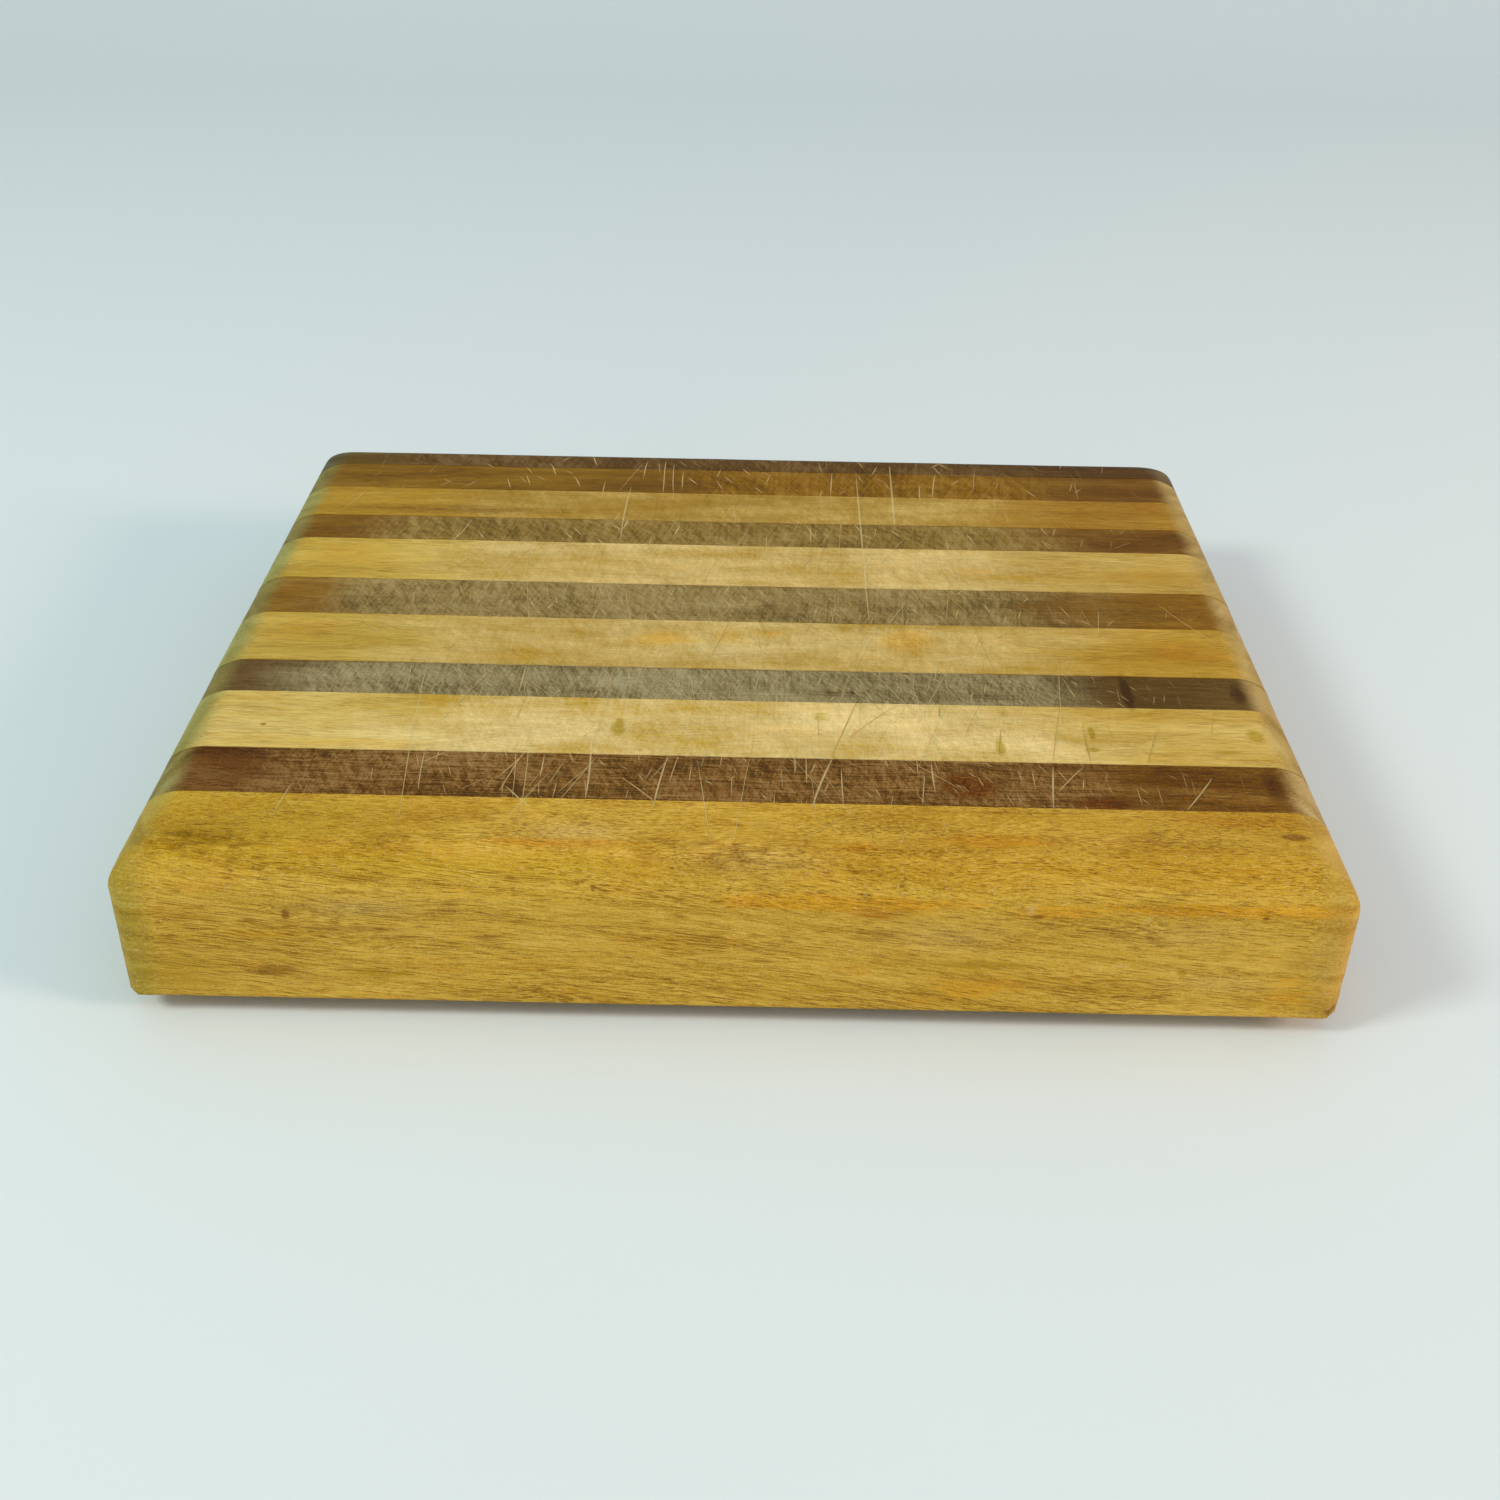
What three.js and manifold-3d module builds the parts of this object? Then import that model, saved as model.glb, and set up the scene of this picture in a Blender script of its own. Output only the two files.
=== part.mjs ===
// Edge-grain laminated cutting board on four screwed-on rubber feet.
// Millimetres, +Z up. The origin is the middle of the footprint, on the table.
// The strips run along X; -Y is the front edge and +Y the back edge.
import * as THREE from "three";
import { mergeVertices, toCreasedNormals } from "three/addons/utils/BufferGeometryUtils.js";
import Module from "manifold-3d";

const wasm = await Module();
wasm.setup();

// Board.
const BOARD_LENGTH = 305;
const BOARD_DEPTH = 255;
const BOARD_THICKNESS = 43;
const ROUND_OVER = 12;
const ROUND_OVER_STEPS = 10;
const CORNER_RADIUS = 4;
const CORNER_STEPS = 5;
const BOTTOM_EASE = 0.8;

// Width of each strip from front to back, measured between the middles of the glue lines.
const STRIP_WIDTHS = [29.5, 21, 29, 17.5, 28.5, 23, 28, 17.5, 22, 19.5, 19.5];
const GLUE_THICKNESS = 0.3;

// Feet.
const FOOT_HEIGHT = 6;
const FOOT_TOP_RADIUS = 10;
const FOOT_BOTTOM_RADIUS = 9;
const FOOT_EDGE_RADIUS = 1;
const FOOT_X = 120;
const FOOT_Y = 94;
const RECESS_RADIUS = 5.4;
const RECESS_DEPTH = 4;

// Foot hardware.
const WASHER_RADIUS = 5;
const WASHER_THICKNESS = 0.8;
const HEAD_RADIUS = 3.9;
const HEAD_HEIGHT = 2.2;
const SHANK_RADIUS = 2.1;
const SCREW_LENGTH = 19;
const SCREW_POINT = 4;
const HOLE_CLEARANCE = 0.3;
const DRIVE_SPAN = 3.8;
const DRIVE_WIDTH = 0.9;
const DRIVE_DEPTH = 1.2;

const BOARD_TOP = FOOT_HEIGHT + BOARD_THICKNESS;
const HOLE_RADIUS = SHANK_RADIUS + HOLE_CLEARANCE;
const HEAD_TOP = RECESS_DEPTH - WASHER_THICKNESS;
const SCREW_TIP = HEAD_TOP + SCREW_LENGTH;

function woodMaterial(color) {
  return new THREE.MeshStandardMaterial({ color, roughness: 0.6, metalness: 0 });
}

const LIGHT_WOOD = woodMaterial("#c49a55");
const DARK_WOOD = woodMaterial("#765636");
const DARKEST_WOOD = woodMaterial("#4a3220");
const GLUE = new THREE.MeshStandardMaterial({ color: "#3b2713", roughness: 0.5, metalness: 0 });
const RUBBER = new THREE.MeshStandardMaterial({ color: "#1c1c1c", roughness: 0.85, metalness: 0 });
const STEEL = new THREE.MeshStandardMaterial({ color: "#b9bcc0", roughness: 0.3, metalness: 1 });

// A closed geometry as a manifold-3d solid.
function toSolid(geometry) {
  const bare = geometry.clone();
  bare.deleteAttribute("normal");
  bare.deleteAttribute("uv");
  const merged = mergeVertices(bare, 1e-4);
  const kept = [];
  const index = merged.index.array;
  for (let i = 0; i < index.length; i += 3) {
    const [a, b, c] = [index[i], index[i + 1], index[i + 2]];
    if (a !== b && b !== c && a !== c) kept.push(a, b, c);
  }
  return new wasm.Manifold(
    new wasm.Mesh({
      numProp: 3,
      vertProperties: new Float32Array(merged.attributes.position.array),
      triVerts: new Uint32Array(kept),
    }),
  );
}

// A manifold-3d solid as a named mesh.
function toMesh(solid, name, material) {
  const { numProp, vertProperties, triVerts } = solid.getMesh();
  const geometry = new THREE.BufferGeometry();
  const buffer = new THREE.InterleavedBuffer(vertProperties, numProp);
  geometry.setAttribute("position", new THREE.InterleavedBufferAttribute(buffer, 3, 0));
  geometry.setIndex(new THREE.BufferAttribute(triVerts, 1));
  const flat = new THREE.BufferGeometry();
  flat.setAttribute("position", geometry.toNonIndexed().getAttribute("position").clone());
  const mesh = new THREE.Mesh(toCreasedNormals(flat, THREE.MathUtils.degToRad(30)), material);
  mesh.name = name;
  return mesh;
}

// A box between two corners.
function boxSolid(low, high) {
  const size = high.map((value, axis) => value - low[axis]);
  const geometry = new THREE.BoxGeometry(...size);
  geometry.translate(low[0] + size[0] / 2, low[1] + size[1] / 2, low[2] + size[2] / 2);
  return toSolid(geometry);
}

// A profile of [radius, height] pairs, from the axis and back to it, turned about Z.
function turnedSolid(profile, steps) {
  const points = profile.map(([radius, height]) => new THREE.Vector2(radius, height));
  const geometry = new THREE.LatheGeometry(points, steps);
  geometry.rotateX(Math.PI / 2);
  return toSolid(geometry);
}

function cylinderSolid(radius, low, high, steps) {
  return turnedSolid([[0, low], [radius, low], [radius, high], [0, high]], steps);
}

// The board's outline with rounded plan corners, moved in by `inset`, at one height.
function outlineRing(inset, height) {
  const radius = Math.max(CORNER_RADIUS - inset, 0);
  const centreX = BOARD_LENGTH / 2 - Math.max(CORNER_RADIUS, inset);
  const centreY = BOARD_DEPTH / 2 - Math.max(CORNER_RADIUS, inset);
  const corners = [[1, -1, -90], [1, 1, 0], [-1, 1, 90], [-1, -1, 180]];
  const ring = [];
  for (const [signX, signY, start] of corners) {
    for (let step = 0; step <= CORNER_STEPS; step += 1) {
      const angle = THREE.MathUtils.degToRad(start + (90 * step) / CORNER_STEPS);
      const x = signX * centreX + radius * Math.cos(angle);
      const y = signY * centreY + radius * Math.sin(angle);
      ring.push([x, y, height]);
    }
  }
  return ring;
}

// The whole glued-up board: sharp eased bottom edge, upright sides, rounded-over top edge.
function boardSolid() {
  const rings = [
    outlineRing(BOTTOM_EASE, FOOT_HEIGHT),
    outlineRing(0, FOOT_HEIGHT + BOTTOM_EASE),
  ];
  for (let step = 0; step <= ROUND_OVER_STEPS; step += 1) {
    const angle = (Math.PI / 2) * (step / ROUND_OVER_STEPS);
    const inset = ROUND_OVER * (1 - Math.cos(angle));
    rings.push(outlineRing(inset, BOARD_TOP - ROUND_OVER * (1 - Math.sin(angle))));
  }
  const count = rings[0].length;
  const positions = rings.flat(2);
  const bottomCentre = rings.length * count;
  const topCentre = bottomCentre + 1;
  positions.push(0, 0, FOOT_HEIGHT, 0, 0, BOARD_TOP);
  const index = [];
  for (let level = 0; level + 1 < rings.length; level += 1) {
    for (let i = 0; i < count; i += 1) {
      const next = (i + 1) % count;
      const [a, b] = [level * count + i, level * count + next];
      const [c, d] = [a + count, b + count];
      index.push(a, b, d, a, d, c);
    }
  }
  const lastLevel = (rings.length - 1) * count;
  for (let i = 0; i < count; i += 1) {
    const next = (i + 1) % count;
    index.push(next, i, bottomCentre);
    index.push(lastLevel + i, lastLevel + next, topCentre);
  }
  const geometry = new THREE.BufferGeometry();
  geometry.setAttribute("position", new THREE.Float32BufferAttribute(positions, 3));
  geometry.setIndex(index);
  return toSolid(geometry);
}

// The part of the board between two distances from the front edge.
function boardSlice(board, from, to) {
  const margin = 5;
  const front = from === 0 ? -margin : from;
  const back = to === BOARD_DEPTH ? BOARD_DEPTH + margin : to;
  const low = [-BOARD_LENGTH / 2 - margin, front - BOARD_DEPTH / 2, FOOT_HEIGHT - margin];
  const high = [BOARD_LENGTH / 2 + margin, back - BOARD_DEPTH / 2, BOARD_TOP + margin];
  return board.intersect(boxSolid(low, high));
}

function footSolid() {
  const profile = [[0, 0]];
  const cornerSteps = 4;
  const edgeCentre = FOOT_BOTTOM_RADIUS - FOOT_EDGE_RADIUS;
  for (let step = 0; step <= cornerSteps; step += 1) {
    const angle = (Math.PI / 2) * (step / cornerSteps);
    profile.push([
      edgeCentre + FOOT_EDGE_RADIUS * Math.sin(angle),
      FOOT_EDGE_RADIUS * (1 - Math.cos(angle)),
    ]);
  }
  profile.push([FOOT_TOP_RADIUS, FOOT_HEIGHT], [0, FOOT_HEIGHT]);
  return turnedSolid(profile, 48)
    .subtract(cylinderSolid(RECESS_RADIUS, -1, RECESS_DEPTH, 32))
    .subtract(cylinderSolid(HOLE_RADIUS, RECESS_DEPTH - 1, FOOT_HEIGHT + 1, 24));
}

function washerSolid() {
  return cylinderSolid(WASHER_RADIUS, HEAD_TOP, RECESS_DEPTH, 32)
    .subtract(cylinderSolid(HOLE_RADIUS, HEAD_TOP - 1, RECESS_DEPTH + 1, 24));
}

// Pan-head wood screw, head down, with a cross recess; the thread is left as a plain shank.
function screwSolid() {
  const headBottom = HEAD_TOP - HEAD_HEIGHT;
  const profile = [
    [0, headBottom],
    [HEAD_RADIUS * 0.6, headBottom],
    [HEAD_RADIUS * 0.88, headBottom + HEAD_HEIGHT * 0.2],
    [HEAD_RADIUS, headBottom + HEAD_HEIGHT * 0.55],
    [HEAD_RADIUS, HEAD_TOP],
    [SHANK_RADIUS, HEAD_TOP],
    [SHANK_RADIUS, SCREW_TIP - SCREW_POINT],
    [0, SCREW_TIP],
  ];
  const drive = headBottom + DRIVE_DEPTH;
  const half = DRIVE_WIDTH / 2;
  const reach = DRIVE_SPAN / 2;
  const slotAcross = boxSolid([-reach, -half, headBottom - 1], [reach, half, drive]);
  const slotAlong = boxSolid([-half, -reach, headBottom - 1], [half, reach, drive]);
  return turnedSolid(profile, 24).subtract(slotAcross.add(slotAlong));
}

const feetPlaces = [
  ["front_left", -FOOT_X, -FOOT_Y],
  ["front_right", FOOT_X, -FOOT_Y],
  ["back_left", -FOOT_X, FOOT_Y],
  ["back_right", FOOT_X, FOOT_Y],
];

function twoDigits(number) {
  return String(number).padStart(2, "0");
}

const group = new THREE.Group();
group.name = "cutting_board";

// Board with the screw holes drilled, then parted into strips and glue lines.
let board = boardSolid();
for (const [, x, y] of feetPlaces) {
  const hole = cylinderSolid(HOLE_RADIUS, FOOT_HEIGHT - 1, SCREW_TIP + HOLE_CLEARANCE, 24);
  board = board.subtract(hole.translate([x, y, 0]));
}

let distance = 0;
STRIP_WIDTHS.forEach((width, place) => {
  const first = place === 0;
  const last = place === STRIP_WIDTHS.length - 1;
  const from = first ? 0 : distance + GLUE_THICKNESS / 2;
  const to = last ? BOARD_DEPTH : distance + width - GLUE_THICKNESS / 2;
  const odd = place % 2 === 0;
  const wood = last ? DARKEST_WOOD : odd ? LIGHT_WOOD : DARK_WOOD;
  const strip = boardSlice(board, from, to);
  group.add(toMesh(strip, `strip_${twoDigits(place + 1)}`, wood));
  if (!last) {
    const film = boardSlice(board, to, to + GLUE_THICKNESS);
    group.add(toMesh(film, `glue_${twoDigits(place + 1)}`, GLUE));
  }
  distance += width;
});

const foot = footSolid();
const washer = washerSolid();
const screw = screwSolid();
for (const [place, x, y] of feetPlaces) {
  group.add(toMesh(foot.translate([x, y, 0]), `foot_${place}`, RUBBER));
  group.add(toMesh(washer.translate([x, y, 0]), `washer_${place}`, STEEL));
  group.add(toMesh(screw.translate([x, y, 0]), `screw_${place}`, STEEL));
}

export default group;
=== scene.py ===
import math

import bmesh
import bpy
import numpy as np
from mathutils import Matrix, Vector
from mathutils.geometry import delaunay_2d_cdt


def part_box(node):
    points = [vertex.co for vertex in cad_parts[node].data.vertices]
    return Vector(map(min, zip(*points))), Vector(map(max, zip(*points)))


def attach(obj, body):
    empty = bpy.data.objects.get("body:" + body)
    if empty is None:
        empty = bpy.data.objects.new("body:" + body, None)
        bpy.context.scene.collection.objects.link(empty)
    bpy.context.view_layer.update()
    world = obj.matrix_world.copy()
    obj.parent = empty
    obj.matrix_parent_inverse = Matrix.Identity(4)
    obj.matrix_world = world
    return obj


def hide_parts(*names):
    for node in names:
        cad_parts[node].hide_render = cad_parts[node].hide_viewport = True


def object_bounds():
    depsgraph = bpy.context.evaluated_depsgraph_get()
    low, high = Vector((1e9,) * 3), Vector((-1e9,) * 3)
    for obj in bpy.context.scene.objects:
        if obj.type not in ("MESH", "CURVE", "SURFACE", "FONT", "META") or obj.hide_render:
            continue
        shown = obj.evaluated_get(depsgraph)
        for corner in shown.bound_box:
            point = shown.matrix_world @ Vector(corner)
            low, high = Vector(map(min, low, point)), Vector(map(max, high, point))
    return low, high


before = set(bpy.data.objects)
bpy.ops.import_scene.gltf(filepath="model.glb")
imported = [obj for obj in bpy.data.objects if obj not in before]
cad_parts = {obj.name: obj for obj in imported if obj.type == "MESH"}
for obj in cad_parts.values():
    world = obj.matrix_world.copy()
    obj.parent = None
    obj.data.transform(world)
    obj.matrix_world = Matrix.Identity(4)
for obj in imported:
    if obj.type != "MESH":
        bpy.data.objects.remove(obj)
start_low, start_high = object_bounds()

# Lengths are in millimetres until a mesh is made.
MM = 0.001
LOW = start_low / MM
HIGH = start_high / MM
HALF_X = (HIGH.x - LOW.x) / 2
HALF_Y = (HIGH.y - LOW.y) / 2
TOP = HIGH.z
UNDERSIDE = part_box("strip_01")[0].z / MM
STRIPS = sorted(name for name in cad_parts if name.startswith("strip_"))
GLUES = sorted(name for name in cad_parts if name.startswith("glue_"))

# Board shape.
ROUND_OVER = 12.0
FLAT_X = HALF_X - ROUND_OVER
FLAT_Y = HALF_Y - ROUND_OVER
BOTTOM_EASE = 0.6
# How far the hand-sanded plan corners are softened: [left, right] for the front and the back.
CORNER_SOFTNESS = {"front": (1.3, 1.2), "back": (6.0, 7.0)}
# Mesh steps: the front strip, which is seen closest, is made finer than the others.
ARC_STEPS = 16
WALL_STEPS = 20
FRONT_ARC_STEPS = 26
FRONT_WALL_STEPS = 44
EASE_STEPS = 3
FAN_STEPS = 12
GRID = 1.7
EDGE_GRID = 1.2
FRONT_EDGE_GRID = 0.7
SIDE_GRID = 1.3
# Extra points round a small mark, in mark sizes from its centre.
MARK_GRID = np.linspace(-1.6, 1.6, 9)
# Cuts stop this far inside the flat, and its border, this wide, is never cut into.
CUT_MARGIN = 0.8
SEAM = 0.05
# How far each strip's top lies under the highest one.
STRIP_DROPS = (0.05, 0.16, 0.06, 0.2, 0.04, 0.17, 0.05, 0.15, 0.08, 0.14, 0.1)
GLUE_DROP = 0.09


# ---------------- smooth random surfaces
def lattice(ix, iy, iz, seed):
    """A fixed random number from 0 to 1 at each whole-number point."""
    h = ix.astype(np.uint32) * np.uint32(374761393)
    h = h ^ (iy.astype(np.uint32) * np.uint32(668265263))
    h = h ^ (iz.astype(np.uint32) * np.uint32(2246822519))
    h = h + np.uint32((seed * 3266489917) & 0xFFFFFFFF)
    h = (h ^ (h >> np.uint32(13))) * np.uint32(1274126177)
    h = h ^ (h >> np.uint32(16))
    return h.astype(float) / 4294967295.0


def noise(x, y, z, seed):
    """Smooth noise from 0 to 1 with a period of about one unit."""
    x, y, z = np.broadcast_arrays(
        np.asarray(x, float), np.asarray(y, float), np.asarray(z, float)
    )
    ix, iy, iz = (np.floor(v).astype(np.int64) for v in (x, y, z))
    fx, fy, fz = x - ix, y - iy, z - iz
    fx, fy, fz = (v * v * (3 - 2 * v) for v in (fx, fy, fz))
    total = np.zeros(x.shape)
    for dx in (0, 1):
        for dy in (0, 1):
            for dz in (0, 1):
                weight = (fx if dx else 1 - fx) * (fy if dy else 1 - fy)
                weight = weight * (fz if dz else 1 - fz)
                total += weight * lattice(ix + dx, iy + dy, iz + dz, seed)
    return total


def bump_patch(x, y, centre_x, centre_y, size_x, size_y):
    """A soft mask, 1 at the centre and fading out over the size given."""
    return np.exp(-(((x - centre_x) / size_x) ** 2) - ((y - centre_y) / size_y) ** 2)


# ---------------- board surface
def rim_distance(x, y):
    """How far a point lies inside the board's outline, with softened corners."""
    gap_x = HALF_X - np.abs(x)
    gap_y = HALF_Y - np.abs(y)
    front, back = CORNER_SOFTNESS["front"], CORNER_SOFTNESS["back"]
    soft = np.where(
        y < 0,
        np.where(x < 0, front[0], front[1]),
        np.where(x < 0, back[0], back[1]),
    )
    blend = np.clip(soft - np.abs(gap_x - gap_y), 0, None) / soft
    return np.minimum(gap_x, gap_y) - blend * blend * soft / 4


def round_drop(rim):
    """How far the rounded-over edge has fallen below the top at a distance from the rim."""
    inside = ROUND_OVER - np.clip(rim, 0, ROUND_OVER)
    return ROUND_OVER - np.sqrt(np.maximum(ROUND_OVER**2 - inside**2, 0))


def worn_depth(x, y):
    """How far knives and scraping have taken the top down, before single cuts."""
    dish = 0.3 * bump_patch(x, y, 8, 0, 95, 78)
    waves = 0.09 * noise(x / 34, y / 19, 0, 11) + 0.05 * noise(x / 11, y / 6, 0, 12)
    return dish + waves


def torn_grain(x, y, z):
    """Raised and torn fibres: rough patches on the front edge's shoulder."""
    patches = (
        bump_patch(x, y, -128, -119, 16, 5)
        + 0.9 * bump_patch(x, y, -6, -119.5, 20, 4.5)
        + 0.5 * bump_patch(x, y, 60, -118, 40, 4)
        + 0.8 * bump_patch(x, y, 137, -112, 7, 4)
    )
    ragged = noise(x / 1.7, y / 0.9, z / 0.9, 21) * noise(x / 3.5, y / 2, z / 2, 22)
    return 1.9 * np.clip(patches, 0, 1) * np.clip(ragged - 0.16, 0, 1)


DENTS = (
    # x, y, z, radius, depth
    (152.0, -127.0, 7.5, 2.2, 0.7),
    (-113.5, -127.5, 35.0, 1.3, 0.5),
    (-33.0, -125.5, 40.5, 0.8, 0.5),
    (96.0, -127.5, 19.0, 1.0, 0.35),
    (103.0, -127.5, 36.0, 1.1, 0.4),
    (-152.0, -40.0, 9.0, 3.0, 0.9),
    (151.5, 60.0, 10.0, 2.6, 0.8),
    (20.0, 127.3, 12.0, 2.2, 0.6),
    (-90.0, 127.0, 40.0, 2.8, 0.7),
)


def edge_relief(x, y, z):
    """How far the rounded edge and the upright sides lie inside their planed shape."""
    wave = 0.2 * noise(x / 31, y / 29, z / 17, 31) + 0.08 * noise(x / 9, y / 9, z / 5, 32)
    ridges = 0.06 * noise(x / 14, y / 1.6, z / 1.3, 33)
    relief = wave + ridges - 0.3 - 0.5 * np.clip((np.abs(x) - 141) / 8, 0, 1)
    for dent_x, dent_y, dent_z, radius, depth in DENTS:
        away = (x - dent_x) ** 2 + (y - dent_y) ** 2 + (z - dent_z) ** 2
        relief = relief + depth * np.exp(-away / radius**2)
    return relief


# ---------------- marks
# Local stains and sanded spots. On the top: centre x, y, size x, y, strength.
TOP_Z = 49.0
TOP_MARK_DEPTH = 6
TOP_MARKS = {
    "warm": (
        (-130, -12, 14, 11, 0.55), (-24, -13, 10, 5, 0.8), (-66, -25, 14, 2.5, 0.55),
        (-4, -11, 6, 4, 0.6), (8, -9, 5, 2.5, 0.85), (49, -12, 8, 9, 0.75),
        (129, -17, 13, 8, 0.8), (-126, 36, 16, 10, 0.5), (72, 33, 8, 4, 0.5),
        (128, 32, 14, 9, 0.45), (-60, 72, 30, 3, 0.4), (-33, -56, 3, 5, 0.5),
        (110, -55, 12, 3, 0.35), (-112, -74, 30, 2.5, 0.5), (64, -113, 16, 3, 1.3),
        (122, -104, 16, 4, 0.45), (115, -115, 14, 2, 0.5),
    ),
    "pale": (
        (-4, -20, 9, 3.5, 0.8), (20, -18, 8, 5, 0.4), (64, -56, 7, 4, 0.6), (20, -70, 7, 5, 0.6),
        (0, -60, 18, 6, 0.35), (-40, -113, 12, 4, 0.55),
    ),
    "dark": (
        (-100, 72, 40, 3.5, 0.58), (-128, -65.5, 0.7, 0.7, 1.16), (108.7, -40, 1.3, 8.5, 2),
        (140, -39, 1.8, 5, 1.16), (28, -43, 9, 2.5, 0.72), (70, -43, 12, 3, 0.65),
        (-42, -44, 6, 2, 0.58), (95, -33, 14, 2, 0.51), (97, -0.5, 9, 2, 0.87),
        (8, 8, 3, 4, 0.51), (-112, 14, 2, 4, 0.58), (120, -86.5, 20, 0.9, 0.72),
        (100, -90.5, 16, 0.6, 0.58), (139, -86, 2.5, 8, 0.87), (83, -79, 14, 1.5, 0.72),
        (-23, -84, 8, 4, 0.51), (-131, -112, 11, 1.3, 0.56), (-66, -104.5, 16, 0.5, 0.72),
        (139, -109, 3, 1.5, 1.38), (104, -108.5, 3, 0.9, 0.72), (60, -100.5, 20, 0.5, 0.8),
        (22, -100.5, 14, 0.5, 0.58),
    ),
    "olive": (
        (-32.5, -63.5, 1.7, 4.5, 1.35), (70, -70, 1.1, 4, 1.35), (95.5, -62, 0.9, 4, 1.35),
        (94.5, -70, 1.6, 1, 1.5), (72.5, -52, 1.6, 2, 0.9), (140, -62, 2, 3.5, 1.05),
        (130, -70, 5, 1.2, 0.75), (22, -56, 2, 3, 0.52), (-134, -116, 9, 3, 0.75),
    ),
    "red": (
        (60, -88.5, 6, 5, 1.53), (94, -95.5, 7, 2.6, 1.53), (-5, -92, 12, 3, 0.4),
        (-130, -84, 12, 5, 0.3),
    ),
}
# On the front face: centre x, z, size x, y, z, strength.
FRONT_Y = -127.5
FRONT_MARKS = {
    "warm": (
        (26, 39.5, 30, 8, 1.9, 1.7), (80, 38, 14, 8, 2.4, 1), (120, 39.5, 34, 8, 1.7, 1.3),
        (-66, 40, 22, 8, 1.6, 0.4), (58, 14, 14, 8, 5, 0.9), (90, 15, 16, 8, 4, 0.4),
        (140, 14, 14, 8, 6, 0.5), (-65, 28, 10, 8, 3, 0.5), (-118, 26.5, 15, 8, 1.6, 0.7),
    ),
    "red": (
        (36, 36.5, 9, 8, 1.6, 0.68),
    ),
    "dark": (
        (36, 29, 8, 8, 3, 0.32), (142, 25, 9, 8, 5, 0.27), (-94, 29, 17, 8, 1, 0.68),
        (-83, 26.5, 11, 8, 1.4, 0.45), (-61, 27, 5, 8, 1.6, 0.72), (-115, 15.5, 9, 8, 2.2, 0.58),
        (-138, 33.5, 9, 8, 0.8, 0.45), (-40, 37.5, 14, 8, 0.8, 0.32),
        (-100, 38.6, 16, 8, 0.6, 0.36), (-34, 42, 0.8, 8, 0.8, 1.45), (74, 36.8, 2, 6, 0.6, 1.45),
        (129.6, 38, 0.8, 6, 0.6, 1.3), (151, 8.5, 1.8, 6, 1.6, 1.16),
    ),
    "olive": (
        (-88, 15, 9, 8, 2.5, 0.75), (-138, 14, 14, 8, 8, 0.6), (62, 21.5, 16, 8, 1.4, 0.75),
        (24, 12.5, 9, 8, 1.2, 0.75), (111.6, 20.2, 1, 6, 0.8, 1.35),
    ),
    "pale": (
        (-92, 35.5, 14, 8, 2.6, 0.45), (52, 30, 14, 8, 4.5, 0.35), (112, 32, 14, 8, 4, 0.3),
        (122, 17, 12, 8, 3, 0.35), (72.5, 39, 0.9, 6, 1.4, 1), (101, 36.3, 0.8, 6, 0.8, 1),
        (96, 22, 1.1, 6, 0.7, 0.9), (-51, 25.3, 1.1, 6, 0.8, 0.8),
    ),
}
# On the front shoulder: kind, centre x, y, z, size x, y, z, strength.
SHOULDER_MARKS = (
    ("dark", -126, -119.5, 48, 20, 0.7, 6, 0.48),
    ("warm", -42, -117, 48.5, 17, 1.5, 6, 1.3),
    ("warm", 30, -116.5, 48.5, 5, 1.8, 6, 1.5),
    ("pale", 4, -121, 47.5, 18, 4, 6, 0.4),
    ("dark", -109.6, -127.5, 33.2, 1.1, 4, 1.8, 1.45),
)
MARKS = [
    (kind, x, y, TOP_Z, size_x, size_y, TOP_MARK_DEPTH, strength)
    for kind, rows in TOP_MARKS.items()
    for x, y, size_x, size_y, strength in rows
]
MARKS += SHOULDER_MARKS
MARKS += [
    (kind, x, FRONT_Y, z, *size_and_strength)
    for kind, rows in FRONT_MARKS.items()
    for x, z, *size_and_strength in rows
]
MARK_KINDS = ("warm", "olive", "dark", "pale", "red")


def marks_at(points):
    """How strongly each kind of mark shows at each point, from 0 to 1."""
    out = {kind: np.zeros(len(points)) for kind in MARK_KINDS}
    for kind, *numbers in MARKS:
        centre, size, strength = np.array(numbers[:3]), np.array(numbers[3:6]), numbers[6]
        away = (((points - centre) / size) ** 2).sum(1)
        out[kind] = np.maximum(out[kind], strength * np.exp(-away))
    torn = torn_grain(points[:, 0], points[:, 1], points[:, 2])
    out["torn"] = np.clip(torn / 0.35, 0, 1)
    return out


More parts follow.
